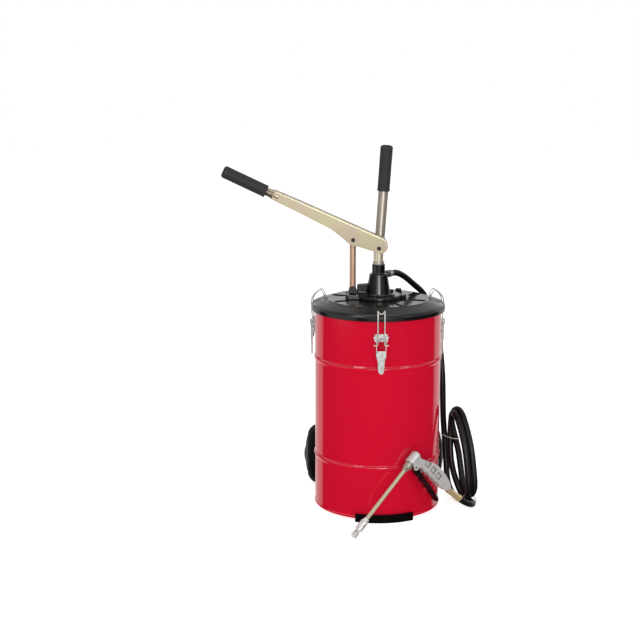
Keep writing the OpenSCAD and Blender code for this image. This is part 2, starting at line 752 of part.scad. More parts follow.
// The hank's outline stands in a plane that runs from the drum's rear side to the front
module hose_coil() {
    color("#161616") translate([hank_place.x, hank_place.y, 0]) rotate(hank_turn)
        rotate([90, 0, 0]) linear_extrude(hank_t, center = true) hull() {
            translate([-34, 194]) circle(r = 36);
            translate([-2, 125]) circle(r = 44);
            translate([14, 43]) circle(r = 43);
        }
}

module hose_lead() {
    color("#161616") tube(lead_route, hose_d / 2, 12);
}

drum_shell();
drum_bottom();
lid();
lid_gasket();
filler_plug();
pump_head();
head_bolts();
gland_packing();
gland_nut();
pump_tube();
foot_valve_body();
foot_valve_ball();
strainer();
piston();
piston_seals();
piston_rod();
rod_head();
lever();
lever_tube();
lever_grip();
lever_pins();
fulcrum_link();
link_base_pin();
steady_tube();
steady_grip();
steady_bolts();
outlet_adapter();
outlet_ball();
outlet_spring();
hose_ferrule();
latch_base(0);  // latch_base_front
latch_base(1);  // latch_base_left
latch_base(2);  // latch_base_right
latch_pins();
latch_lever(0);  // latch_lever_front
latch_lever(1);  // latch_lever_left
latch_lever(2);  // latch_lever_right
latch_bail(0);  // latch_bail_front
latch_bail(1);  // latch_bail_left
latch_bail(2);  // latch_bail_right
axle_brackets();
axle();
axle_caps();
tyre(-1);  // tyre_left
tyre(1);  // tyre_right
hub(-1);  // hub_left
hub(1);  // hub_right
front_foot();
foot_bolts();
gun_body();
gun_head_cap();
gun_trigger();
gun_valve_pin();
lance();
lance_nuts();
nozzle();
gun_swivel();
hose_run();
hose_coil();
hose_lead();
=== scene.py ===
"""The looks of the gear oil pump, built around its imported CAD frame.

Shapes are in millimetres and are scaled to metres when a mesh or curve is made. The camera, the
lights and the hose's exit are in metres.
"""

import json
import math

import bmesh
import bpy
from mathutils import Matrix, Vector

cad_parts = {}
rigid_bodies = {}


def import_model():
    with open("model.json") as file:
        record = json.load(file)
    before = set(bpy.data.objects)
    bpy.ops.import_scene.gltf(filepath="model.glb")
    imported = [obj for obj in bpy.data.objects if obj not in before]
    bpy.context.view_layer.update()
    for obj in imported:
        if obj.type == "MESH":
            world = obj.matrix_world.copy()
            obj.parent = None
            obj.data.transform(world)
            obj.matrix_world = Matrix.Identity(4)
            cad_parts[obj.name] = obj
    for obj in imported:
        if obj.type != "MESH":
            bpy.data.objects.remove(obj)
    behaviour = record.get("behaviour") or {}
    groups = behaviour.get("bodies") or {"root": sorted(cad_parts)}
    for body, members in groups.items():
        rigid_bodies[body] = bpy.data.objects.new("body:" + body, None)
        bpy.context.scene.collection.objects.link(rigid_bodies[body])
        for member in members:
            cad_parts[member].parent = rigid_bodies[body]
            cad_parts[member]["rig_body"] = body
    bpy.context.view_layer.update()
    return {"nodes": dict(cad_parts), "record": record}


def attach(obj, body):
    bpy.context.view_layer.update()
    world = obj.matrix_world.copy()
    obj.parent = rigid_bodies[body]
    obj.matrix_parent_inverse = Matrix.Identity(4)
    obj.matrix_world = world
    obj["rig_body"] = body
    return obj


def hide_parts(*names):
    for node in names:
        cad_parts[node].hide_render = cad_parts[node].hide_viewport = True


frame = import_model()
NODES = frame["nodes"]
MM = 0.001
BODY_OF = {n: o["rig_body"] for n, o in NODES.items()}
SLOT_OF = {s["node"]: s["material_slot"] for s in frame["record"]["subparts"]}


# ---------- Camera ----------

CAMERA_AT = Vector((-0.1552, -3.1928, 1.1232))
LOOK_AT = Vector((-0.1385, 0.0, 0.455))


def add_camera():
    data = bpy.data.cameras.new("camera")
    data.sensor_width = 36.0
    data.lens = 76.95
    camera = bpy.data.objects.new("camera", data)
    bpy.context.scene.collection.objects.link(camera)
    camera.location = CAMERA_AT
    camera.rotation_euler = (LOOK_AT - CAMERA_AT).to_track_quat("-Z", "Y").to_euler()
    bpy.context.scene.camera = camera


add_camera()


# ---------- Materials ----------


def material(name, color, metallic=0.0, rough=0.5, tint=None, tint_scale=60.0, tint_low=0.4,
             tint_high=0.6, rough_span=0.0, rough_scale=200.0, bump=0.0, bump_scale=900.0,
             specular=0.5):
    """A procedural finish. tint is a second colour mixed in by noise, rough_span a variation of
    the roughness, and bump the height of a fine grain in millimetres."""
    mat = bpy.data.materials.new(name)
    mat.use_nodes = True
    nodes, links = mat.node_tree.nodes, mat.node_tree.links
    shader = nodes["Principled BSDF"]
    shader.inputs["Base Color"].default_value = (*color, 1.0)
    shader.inputs["Metallic"].default_value = metallic
    shader.inputs["Roughness"].default_value = rough
    shader.inputs["Specular IOR Level"].default_value = specular
    coords = nodes.new("ShaderNodeTexCoord")

    def noise(scale, detail=3.0):
        n = nodes.new("ShaderNodeTexNoise")
        n.inputs["Scale"].default_value = scale
        n.inputs["Detail"].default_value = detail
        links.new(coords.outputs["Object"], n.inputs["Vector"])
        return n.outputs["Fac"]

    if tint:
        ramp = nodes.new("ShaderNodeValToRGB")
        ramp.color_ramp.elements[0].position = tint_low
        ramp.color_ramp.elements[0].color = (*color, 1.0)
        ramp.color_ramp.elements[1].position = tint_high
        ramp.color_ramp.elements[1].color = (*tint, 1.0)
        links.new(noise(tint_scale), ramp.inputs["Fac"])
        links.new(ramp.outputs["Color"], shader.inputs["Base Color"])
    if rough_span:
        span = nodes.new("ShaderNodeMapRange")
        span.inputs["To Min"].default_value = rough - rough_span
        span.inputs["To Max"].default_value = rough + rough_span
        links.new(noise(rough_scale), span.inputs["Value"])
        links.new(span.outputs["Result"], shader.inputs["Roughness"])
    if bump:
        relief = nodes.new("ShaderNodeBump")
        relief.inputs["Strength"].default_value = 1.0
        relief.inputs["Distance"].default_value = bump * MM
        links.new(noise(bump_scale, 2.0), relief.inputs["Height"])
        links.new(relief.outputs["Normal"], shader.inputs["Normal"])
    return mat


FINISH = {
    "drum_paint": material("drum_paint", (0.44, 0.002, 0.018), rough=0.09, bump=0.04,
                           bump_scale=40),
    "lid_black": material("lid_black", (0.004, 0.003, 0.004), rough=0.21, rough_span=0.04,
                          rough_scale=90, bump=0.03, bump_scale=200),
    "cast_black": material("cast_black", (0.002, 0.001, 0.001), rough=0.20, bump=0.05,
                           bump_scale=400),
    "seal": material("seal", (0.008, 0.008, 0.008), rough=0.75, specular=0.2),
    "steel": material("steel", (0.40, 0.40, 0.39), metallic=1.0, rough=0.34, rough_span=0.06),
    "dark_steel": material("dark_steel", (0.04, 0.04, 0.04), metallic=1.0, rough=0.42),
    "zinc_yellow": material("zinc_yellow", (0.35, 0.315, 0.205), metallic=0.9, rough=0.30,
                            tint=(0.34, 0.275, 0.22), tint_scale=14, tint_low=0.42,
                            tint_high=0.64, rough_span=0.02, rough_scale=80),
    "link_zinc": material("link_zinc", (0.62, 0.37, 0.26), metallic=0.85, rough=0.40,
                          tint=(0.58, 0.42, 0.31), tint_scale=30, rough_span=0.05),
    "pale_zinc": material("pale_zinc", (0.52, 0.48, 0.40), metallic=0.8, rough=0.34,
                          tint=(0.49, 0.42, 0.36), tint_scale=18, rough_span=0.02),
    "chrome": material("chrome", (0.88, 0.87, 0.85), metallic=0.65, rough=0.22,
                       tint=(0.40, 0.36, 0.31), tint_scale=110, tint_low=0.48, tint_high=0.68),
    "grip": material("grip", (0.022, 0.019, 0.019), rough=0.55, bump=0.10, bump_scale=900,
                     specular=0.35),
    "alloy": material("alloy", (0.62, 0.60, 0.59), metallic=0.55, rough=0.36,
                      rough_span=0.08, bump=0.06, bump_scale=1100),
    "trigger": material("trigger", (0.020, 0.002, 0.004), rough=0.30, specular=0.3,
                        tint=(0.003, 0.001, 0.002), tint_scale=16),
    "brass": material("brass", (0.74, 0.58, 0.30), metallic=0.7, rough=0.30),
    "tyre": material("tyre", (0.003, 0.002, 0.002), rough=0.60, bump=0.12, bump_scale=500,
                     specular=0.08),
    "hub": material("hub", (0.006, 0.006, 0.006), rough=0.45, bump=0.04, bump_scale=700,
                    specular=0.2),
    "hose": material("hose", (0.004, 0.004, 0.004), rough=0.36, bump=0.04, bump_scale=600,
                     specular=0.3),
    "foot": material("foot", (0.002, 0.001, 0.001), rough=0.60, bump=0.08, bump_scale=500,
                     specular=0.06),
}
# Finishes of single pieces that differ from their slot's
# Painted shade: a dull black for the lid's ribs, darker than the lid's paint, that stands for the
# shade along them
RIB_PAINTED_SHADE = material("rib_painted_shade", (0.002, 0.002, 0.002), rough=0.5, specular=0.1)
BAIL_WIRE = material("bail_wire", (0.60, 0.57, 0.53), metallic=0.5, rough=0.30)
# Painted highlight: a lighter copy of the yellow zinc, for the lever's folds, the lance and the
# rod head
ZINC_PAINTED_HIGHLIGHT = material("zinc_painted_highlight", (0.66, 0.60, 0.44), metallic=0.7, rough=0.28)
# Painted shade: a dark grey for lines round the gun's pockets, where their edges are in shadow
POCKET_PAINTED_SHADE = material("pocket_painted_shade", (0.07, 0.065, 0.06), rough=0.6, specular=0.2)
TIE_WIRE = material("tie_wire", (0.62, 0.62, 0.60), rough=0.35)
TIE_GREY = material("tie_grey", (0.40, 0.40, 0.41), rough=0.45)

for node, obj in NODES.items():
    obj.data.materials.clear()
    obj.data.materials.append(FINISH[SLOT_OF[node]])


# ---------- Building tools ----------


CORNER_STEPS = 5


def rounded(points, radius, closed=True):
    """A 2-D outline with its corners rounded. radius is one number, or one for each point."""
    radii = radius if hasattr(radius, "__len__") else [radius] * len(points)
    out = []
    for i, p in enumerate(points):
        p = Vector(p)
        if (not closed and i in (0, len(points) - 1)) or radii[i] <= 0:
            out.append(p)
            continue
        a = Vector(points[i - 1]) - p
        b = Vector(points[(i + 1) % len(points)]) - p
        half = a.angle(b) / 2
        reach = min(radii[i] / math.tan(half), 0.49 * a.length, 0.49 * b.length)
        start, end = p + a.normalized() * reach, p + b.normalized() * reach
        for k in range(CORNER_STEPS + 1):
            t = k / CORNER_STEPS
            out.append((1 - t) ** 2 * start + 2 * t * (1 - t) * p + t * t * end)
    return [(v.x, v.y) for v in out]


def new_piece(name, bm, sharp=38.0):
    """A mesh object from a bmesh in millimetres, smooth but for edges that turn by more than
    sharp degrees."""
    bmesh.ops.recalc_face_normals(bm, faces=bm.faces)
    for f in bm.faces:
        f.smooth = True
    for e in bm.edges:
        e.smooth = e.is_manifold and e.calc_face_angle(0.0) < math.radians(sharp)
    bmesh.ops.scale(bm, vec=(MM, MM, MM), verts=bm.verts)
    mesh = bpy.data.meshes.new(name)
    bm.to_mesh(mesh)
    bm.free()
    obj = bpy.data.objects.new(name, mesh)
    bpy.context.scene.collection.objects.link(obj)
    return obj


def lathed(outline, steps, place=None):
    """A bmesh of a closed outline (radius, height) turned about Z."""
    bm = bmesh.new()
    rings = []
    for k in range(steps):
        a = math.radians(360.0 * k / steps)
        rings.append([bm.verts.new((r * math.cos(a), r * math.sin(a), z)) for r, z in outline])
    for k in range(steps):
        a, b = rings[k], rings[(k + 1) % steps]
        for i in range(len(outline)):
            j = (i + 1) % len(outline)
            bm.faces.new((a[i], b[i], b[j], a[j]))
    bmesh.ops.remove_doubles(bm, verts=bm.verts, dist=1e-4)
    if place is not None:
        bmesh.ops.transform(bm, matrix=place, verts=bm.verts)
    return bm


def plate(outline, low, high, bevel, place):
    """A bmesh of an outline in XY, from z = low to z = high, with rounded rims."""
    bm = bmesh.new()
    bottom = [bm.verts.new((x, y, low)) for x, y in outline]
    top = [bm.verts.new((x, y, high)) for x, y in outline]
    bm.faces.new(list(reversed(bottom)))
    bm.faces.new(top)
    for i in range(len(outline)):
        j = (i + 1) % len(outline)
        bm.faces.new((bottom[i], bottom[j], top[j], top[i]))
    rims = []
    for ring in (bottom, top):
        for i in range(len(ring)):
            rims.append(bm.edges.get((ring[i], ring[(i + 1) % len(ring)])))
    bmesh.ops.bevel(bm, geom=rims, offset=bevel, segments=3, profile=0.5, affect="EDGES",
                    clamp_overlap=True)
    bmesh.ops.transform(bm, matrix=place, verts=bm.verts)
    return bm


def spline(points, steps):
    """A Catmull-Rom curve through the points, with that many steps between two of them."""
    pts = [Vector(p) for p in points]
    ends = [2 * pts[0] - pts[1]] + pts + [2 * pts[-1] - pts[-2]]
    out = []
    for i in range(1, len(ends) - 2):
        a, b, c, d = ends[i - 1:i + 3]
        for k in range(steps):
            t = k / steps
            out.append(0.5 * ((2 * b) + (c - a) * t + (2 * a - 5 * b + 4 * c - d) * t * t
                              + (3 * b - a - 3 * c + d) * t ** 3))
    out.append(pts[-1])
    return out


def wire(name, points, radius, steps=1, sides=8, cyclic=False):
    """A round wire along a smooth curve through the points, or straight from each to the next
    where steps is 1."""
    path = spline(points, steps) if steps > 1 else [Vector(p) for p in points]
    data = bpy.data.curves.new(name, "CURVE")
    data.dimensions = "3D"
    data.bevel_depth = radius * MM
    data.bevel_resolution = sides // 2
    data.use_fill_caps = True
    line = data.splines.new("POLY")
    line.points.add(len(path) - 1)
    for p, v in zip(line.points, path):
        p.co = (v.x * MM, v.y * MM, v.z * MM, 1.0)
    line.use_cyclic_u = cyclic
    line.use_smooth = True
    obj = bpy.data.objects.new(name, data)
    bpy.context.scene.collection.objects.link(obj)
    return obj


def dress(obj, slot, body, replaces=(), finish=None):
    """Gives a piece its finish, the slot's own unless another is given, and the body that it
    moves with.
    """
    obj.data.materials.clear()
    obj.data.materials.append(finish or FINISH[slot])
    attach(obj, body)
    for node in replaces:
        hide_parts(node)
    return obj


def weigh_normals(obj):
    """Shades large flat faces as flat, so that what they mirror isn't bent at their edges."""
    modifier = obj.modifiers.new("weighted", "WEIGHTED_NORMAL")
    modifier.keep_sharp = True
    modifier.weight = 80


def of_node(node):
    """A bmesh in millimetres of a CAD node's own shape, welded and with flat faces joined."""
    bm = bmesh.new()
    bm.from_mesh(NODES[node].data)
    bmesh.ops.scale(bm, vec=(1000, 1000, 1000), verts=bm.verts)
    bmesh.ops.remove_doubles(bm, verts=bm.verts, dist=2e-3)
    bmesh.ops.dissolve_limit(bm, angle_limit=math.radians(0.6), verts=bm.verts,
                             edges=bm.edges, use_dissolve_boundaries=False)
    return bm


CREASE = math.radians(28)


def refine(node, bevel, cut=None):
    """A copy of a CAD node with its edges rounded, which stands for the node. cut is a point on a
    plane and its direction, and what lies beyond the plane is left out."""
    bm = of_node(node)
    if cut:
        whole = list(bm.verts) + list(bm.edges) + list(bm.faces)
        rim = bmesh.ops.bisect_plane(bm, geom=whole, plane_co=cut[0], plane_no=cut[1],
                                     clear_outer=True)["geom_cut"]
        bmesh.ops.edgenet_fill(bm, edges=[e for e in rim if isinstance(e, bmesh.types.BMEdge)])
    edges = [e for e in bm.edges if e.is_manifold and e.calc_face_angle(0.0) > CREASE]
    if edges:
        bmesh.ops.bevel(bm, geom=edges, offset=bevel, segments=3, profile=0.5, affect="EDGES",
                        clamp_overlap=True)
    obj = new_piece(node + "_detail", bm)
    weigh_normals(obj)
    return dress(obj, SLOT_OF[node], BODY_OF[node], [node])


def soften(node, voxel, rounds):
    """A copy of a CAD node as a casting: remeshed, then smoothed so that its edges are round."""
    bm = of_node(node)
    bmesh.ops.triangulate(bm, faces=bm.faces)
    obj = new_piece(node + "_detail", bm)
    remesh = obj.modifiers.new("remesh", "REMESH")
    remesh.mode = "VOXEL"
    remesh.voxel_size = voxel * MM
    remesh.use_smooth_shade = True
    smooth = obj.modifiers.new("smooth", "SMOOTH")
    smooth.factor = 0.5
    smooth.iterations = rounds
    return dress(obj, SLOT_OF[node], BODY_OF[node], [node])


# ---------- Hose ----------

HOSE_R = 7.5
# From the ferrule, over the lid's rim and down behind the drum's right side to the floor
RUN = [
    (32.5, 32.5, 563), (46, 47, 561), (60, 62, 553), (74, 78, 541), (87, 93, 528),
    (98, 105, 517), (108, 116, 507), (118, 125, 494), (128, 129.5, 476), (138, 128, 455),
    (148, 121, 425), (155, 110, 392), (159.5, 99, 358), (162.5, 90, 324), (164.6, 84, 289),
    (165.8, 81, 253), (166.6, 79, 217), (168.4, 78, 181), (171.4, 76, 146), (174, 70, 111),
    (175.3, 62, 82), (176.5, 52, 56), (179, 41, 35), (185, 29, 19.5), (193, 15, 10.5),
]
# Both turns of the hank go up this side, beside each other: along the hank, and height
OUTER_SIDE = [(48.5, 60), (45, 80), (40.5, 101), (34.5, 125), (25.5, 150), (14, 173), (1, 194)]
HALF_GAP = 8.5
# The hank's two turns: along the hank, height, and across the hank
HANK = [
    (3, 8, -8), (18, 7.6, -8.2), (32, 12.4, -8.3), (44, 24, -8.5), (49.3, 41, -8.5),
    *[(u, z, -HALF_GAP) for u, z in OUTER_SIDE],
    (-13, 210, -8), (-28, 216, -7), (-41, 210, -5.5), (-45, 196, -4), (-42.5, 177, -1.5),
    (-37.5, 156, 2), (-32.5, 134, 5.5), (-26.5, 111, 8), (-20, 87, 8.5), (-12, 64, 8),
    (-3, 43, 6.5), (7, 29.5, 5), (19, 22.6, 5), (32, 23.2, 6), (43, 31, 7), (48.7, 44, 8),
    *[(u, z, HALF_GAP) for u, z in OUTER_SIDE],
    (-15, 214, 8.5), (-33, 222, 8.5), (-50, 217, 8), (-60, 202, 6.5), (-60.5, 185, 4),
    (-55, 162, 0), (-48, 138, -4), (-41.5, 114, -7), (-34.4, 88, -7.5), (-27, 60, -4),
    (-18.5, 34, 2), (-9.5, 17.5, 6), (4, 9.2, 8), (20, 7.8, 8),
]
# From the hank's bottom to the gun's swivel
LEAD = [
    (230, -23, 8), (232, -34.5, 8.3), (230.5, -46.5, 9.9), (226, -58.5, 13.2),
    (218.5, -70, 18.4), (209.5, -79, 25), (201, -84.6, 31.5), (193.2, -89, 38.6),
    (191.2, -90, 40.5),
]
# Where the hank stands, the way it faces along the floor, and its thin way
HANK_AT = Vector((207.5, 8, 0))
ALONG = Vector((0.42262, -0.90631, 0))
ACROSS = Vector((0.90631, 0.42262, 0))


def in_hank(u, z, n):
    return HANK_AT + ALONG * u + ACROSS * n + Vector((0, 0, z))


hose_path = spline([Vector(p) for p in RUN] + [in_hank(*p) for p in HANK]
                   + [Vector(p) for p in LEAD], 5)
hose = wire("hose", hose_path, HOSE_R, sides=24)
dress(hose, "hose", "drum", ["hose_run", "hose_coil", "hose_lead"])


def tie(name, origin, side, up, centres, radius, finish):
    """A tie wire drawn tight round strands of hose. centres are the strands' places along side
    and up, from the origin."""
    ring = []
    for k in range(60):
        t = math.tau * k / 60
        out = Vector((math.cos(t), math.sin(t)))
        far = max((Vector(c) for c in centres), key=lambda c: c.dot(out))
        p = far + out * (HOSE_R + radius)
        ring.append(Vector(origin) + side * p.x + up * p.y)
    return dress(wire(name, ring, radius, cyclic=True), "steel", "drum", finish=finish)


X_AXIS, Y_AXIS, Z_AXIS = Vector((1, 0, 0)), Vector((0, 1, 0)), Vector((0, 0, 1))
LOWER_TIE_LEAN = math.radians(50)
ties = [
    tie("hose_tie_upper", (0, 0, 150), X_AXIS, Y_AXIS,
        [(171.1, 76.2), (183.9, 53.9), (194.9, 42.1)], 1.1, TIE_WIRE),
    tie("hose_tie_lower", in_hank(38, 17.5, 0),
        Z_AXIS * math.cos(LOWER_TIE_LEAN) - ALONG * math.sin(LOWER_TIE_LEAN), ACROSS,
        [(0, -8.4), (5.7, 5.5), (-6.5, 7.9)], 1.2, TIE_GREY),
]


# ---------- Drum ----------


DRUM_R = 150


def bead(z, out, half):
    """A rolled hoop's outline from below it to above it."""
    return [(DRUM_R + out * math.cos(math.pi * t / 2) ** 1.3, z + half * t)
            for t in [k / 8 - 1 for k in range(17)]]


def build_drum():
    outline = [(148.8, 8.6)] + rounded(
        [(149, 8), (151.5, 8), (151.5, 12.2), (DRUM_R, 15.5)], [0, 1.2, 1.6, 0], closed=False)
    outline += bead(132, 2.5, 7) + bead(369, 2.5, 7)
    outline += [(DRUM_R, 482.5), (151.4, 484.2), (152.3, 486), (152.3, 487.6), (151.2, 488.8),
                (149.6, 488.9), (148.8, 487.6)]
    drum = new_piece("drum_wall", lathed(outline, 180), sharp=60)
    weigh_normals(drum)
    dress(drum, "drum_paint", "drum", ["drum_shell"])
    seam = plate(rounded([(-3.2, 20), (3.2, 20), (3.2, 478), (-3.2, 478)], 1.5), -0.3, 0.45,
                 bevel=0.3, place=Matrix.Translation((0, DRUM_R, 0)) @ Matrix.Rotation(
                     math.pi / 2, 4, "X"))
    dress(new_piece("drum_seam", seam), "drum_paint", "drum")


def build_lid():
    outline = rounded(
        [(25, 509), (119, 509), (125, 506.6), (153.6, 498.4), (157.2, 496.6), (159.3, 492.6),
         (159.3, 483.0), (157.8, 483.0), (157.8, 493), (144, 493), (144, 498.6),
         (124, 504.6), (118.6, 507.5), (25, 507.5)],
        [0, 5, 5, 4, 3, 4, 0.7, 0.7, 0.5, 0.5, 1, 3, 3, 0])
    lid = new_piece("lid_shell", lathed(outline, 180), sharp=60)
    weigh_normals(lid)
    dress(lid, "lid_black", "drum", ["lid"])
    bead_r = 1.3
    rim = lathed([(158.0 + bead_r * math.cos(t), 484.4 + bead_r * math.sin(t))
                  for t in [math.tau * k / 12 for k in range(12)]], 180)
    dress(new_piece("lid_bead", rim, sharp=60), "lid_black", "drum")


def build_lid_ribs():
    """Eight pressed ribs that point outwards, each one a low mound with rounded ends, in a dull
    black darker than the lid's that paints the shade along them.
    """
    middle_r, half_length, half_width, rib_height, lid_top = 98.5, 18.4, 3.4, 2.2, 508.98
    bm = bmesh.new()
    for k in range(8):
        a = math.radians(45 * k - 19.5)
        rows = []
        for i in range(17):
            t = i / 8 - 1
            swell = math.sqrt(max(0.0, 1 - abs(t) ** 5))
            row = []
            for j in range(9):
                s = j / 4 - 1
                height = rib_height * swell * (math.cos(math.pi * s / 2) ** 0.9)
                x = middle_r + half_length * t
                y = half_width * s * max(swell, 0.02)
                row.append(bm.verts.new((x * math.cos(a) - y * math.sin(a),
                                         x * math.sin(a) + y * math.cos(a),
                                         lid_top + height)))
            rows.append(row)
        for r0, r1 in zip(rows, rows[1:]):
            for j in range(8):
                bm.faces.new((r0[j], r1[j], r1[j + 1], r0[j + 1]))
    bmesh.ops.remove_doubles(bm, verts=bm.verts, dist=1e-3)
    # The ribs take the dull black, painted shade along them
    dress(new_piece("lid_ribs", bm, sharp=70), "lid_black", "drum", finish=RIB_PAINTED_SHADE)


build_drum()
build_lid()
build_lid_ribs()

# ---------- Pump head, lever and steady handle ----------

soften("pump_head", 1.1, 5)
for node_name, bevel_mm in {
    "filler_plug": 0.8, "head_bolts": 0.5, "gland_nut": 0.8, "rod_head": 0.9, "lever_tube": 0.3,
    "fulcrum_link": 0.8, "link_base_pin": 0.6, "steady_tube": 0.8, "steady_bolts": 0.5,
    "outlet_adapter": 0.5, "hose_ferrule": 0.6, "lever_pins": 0.6,
    "latch_base_front": 0.3, "latch_base_left": 0.3, "latch_base_right": 0.3, "latch_pins": 0.4,
    "latch_lever_front": 0.35, "latch_lever_left": 0.35, "latch_lever_right": 0.35,
    "axle_brackets": 0.8, "axle_caps": 0.5, "front_foot": 1.6, "foot_bolts": 0.5,
    "gun_head_cap": 0.6, "lance_nuts": 0.5, "nozzle": 0.6, "gun_swivel": 0.5,
}.items():
    refine(node_name, bevel_mm)
soften("gun_body", 0.7, 4)
soften("gun_trigger", 0.6, 3)
# The lance and the rod head take the lighter zinc, which paints light onto them
NODES["lance"].data.materials[0] = ZINC_PAINTED_HIGHLIGHT
bpy.data.objects["rod_head_detail"].data.materials[0] = ZINC_PAINTED_HIGHLIGHT

LEVER_SLOPE = math.radians(25.4)
HANDLE_OUT = Vector((-math.cos(LEVER_SLOPE), 0, math.sin(LEVER_SLOPE)))
HANDLE_UP = Vector((math.sin(LEVER_SLOPE), 0, math.cos(LEVER_SLOPE)))
GRIP_START = Vector((-264, 0, 762))
# The channel starts this far from the grip, under the pressed end of the handle's tube
CHANNEL_START = 17
refine("lever", 0.45, cut=(GRIP_START - HANDLE_OUT * CHANNEL_START, HANDLE_OUT))


def build_folds():
    """The rounded folds where the lever's sides meet its top, round to its nose, in a lighter
    zinc than the lever's that paints a highlight along them.
    """
    fold_r, fold_y, nose_r, nose_x, nose_z = 3.4, 10.35, 16.7, 1.5, 635.5
    edge = [(-241, 760.7), (-186.4, 737.2), (-116.4, 705.8), (-69.4, 684.8), (-26.4, 665.5)]
    for a in range(62, -13, -9):
        edge.append((nose_x + nose_r * math.cos(math.radians(a)),
                     nose_z + nose_r * math.sin(math.radians(a))))
    for side, y in (("front", -fold_y), ("rear", fold_y)):
        fold = wire(f"lever_fold_{side}", [(x, y, z) for x, z in edge], fold_r, steps=3, sides=16)
        # The lighter zinc paints a highlight along the fold
        dress(fold, "zinc_yellow", "lever", finish=ZINC_PAINTED_HIGHLIGHT)


def build_socket():
    """The handle tube's end, pressed flat where it goes over the lever's channel. Each section
    is a distance from the grip, a half height, a half width and how far up its middle sits."""
    sides = 48
    sections = [(-2, 9.6, 9.6, 0), (3, 9.7, 9.8, 0.2), (8, 9.9, 11, 0.5), (14, 10.8, 13, 0.7),
                (20, 11.8, 14.1, 0.6), (26, 12.4, 14.2, 0.5), (31, 12.2, 13.8, 0.4),
                (35, 11.4, 12.6, 0.3)]
    bm = bmesh.new()
    rings = []
    for along, high, wide, lift in sections:
        middle = GRIP_START - HANDLE_OUT * along + HANDLE_UP * lift
        rings.append([bm.verts.new(middle + HANDLE_UP * high * math.sin(math.tau * k / sides)
                                   + Vector((0, wide * math.cos(math.tau * k / sides), 0)))
                      for k in range(sides)])
    for a, b in zip(rings, rings[1:]):
        for i in range(sides):
            j = (i + 1) % sides
            bm.faces.new((a[i], a[j], b[j], b[i]))
    bm.faces.new(rings[0])
    bm.faces.new(rings[-1])
    dress(new_piece("lever_socket", bm, sharp=60), "zinc_yellow", "lever")


def build_pocket_shade_lines():
    """Painted shade: dark lines round the floors of the pockets in the gun's handle, three on
    each side, standing for the shadow at the pockets' edges.
    """
    gun = (Matrix.Translation((-65, -258, 7)) @ Matrix.Rotation(math.radians(25.3), 4, "Z")
           @ Matrix.Rotation(math.radians(49.7), 4, "Y")
           @ Matrix.Rotation(math.radians(-9.5), 4, "X") @ Matrix.Translation((0, 0, -6)))
    half, middle_z, floor_y, line_r = 6.4, 256, 8.9, 0.9
    low, high = middle_z - half, middle_z + half
    for k, x in enumerate((36, 58, 80)):
        left, right = x - half, x + half
        for side, y in (("front", -floor_y), ("rear", floor_y)):
            corners = rounded([(left, low), (right, low), (right, high), (left, high)], 3)
            rim = [gun @ Vector((u, y, v)) for u, v in corners]
            # Each loop is a dark line of painted shade round a pocket's floor
            dress(wire(f"gun_pocket_shade_{side}_{k + 1}", rim, line_r, cyclic=True), "alloy", "drum",
                  finish=POCKET_PAINTED_SHADE)


build_folds()
build_socket()
build_pocket_shade_lines()


def lathe_on(node, name, outline, origin, direction):
    """A turned piece that stands for a CAD node, its height along the direction."""
    turn = Vector(direction).to_track_quat("Z", "X").to_matrix().to_4x4()
    bm = lathed(outline, 64, Matrix.Translation(origin) @ turn)
    return dress(new_piece(name, bm, sharp=50), SLOT_OF[node], BODY_OF[node], [node])


def grip_outline(radius, length, bore, depth):
    """A moulded grip: a rounded closed end, a collar, and shallow rings along it."""
    end_r, end_steps, pitch = 7, 7, 4
    points = [(bore, depth), (bore, 0)]
    points += [(radius - 1.2, 0), (radius - 0.2, 1.0), (radius, 2.2), (radius, 5.0),
               (radius - 0.9, 6.2)]
    rings = int((length - 18) / pitch)
    for k in range(rings):
        z = 8 + pitch * k
        points += [(radius - 0.9, z), (radius - 0.35, z + 0.8), (radius - 0.35, z + 2.6),
                   (radius - 0.9, z + 3.4)]
    end = 8 + pitch * rings
    points += [(radius - 0.4, end + 1), (radius - 0.3, length - end_r)]
    points += [(radius - 0.3 - end_r * (1 - math.cos(t)), length - end_r + end_r * math.sin(t))
               for t in [math.pi / 2 * k / end_steps for k in range(1, end_steps + 1)]]
    points += [(0.0, length), (0.0, depth)]
    return points


lathe_on("lever_grip", "lever_grip_moulding", grip_outline(15.2, 112, 9.5, 108),
         GRIP_START, HANDLE_OUT)
STEADY_LEAN = math.radians(3.8)
STEADY_UP = Vector((math.sin(STEADY_LEAN), 0, math.cos(STEADY_LEAN)))
lathe_on("steady_grip", "steady_grip_moulding", grip_outline(15.2, 108, 12.1, 104),
         Vector((-2, 33, 556)) + STEADY_UP * 204, STEADY_UP)

# ---------- Latch bails ----------

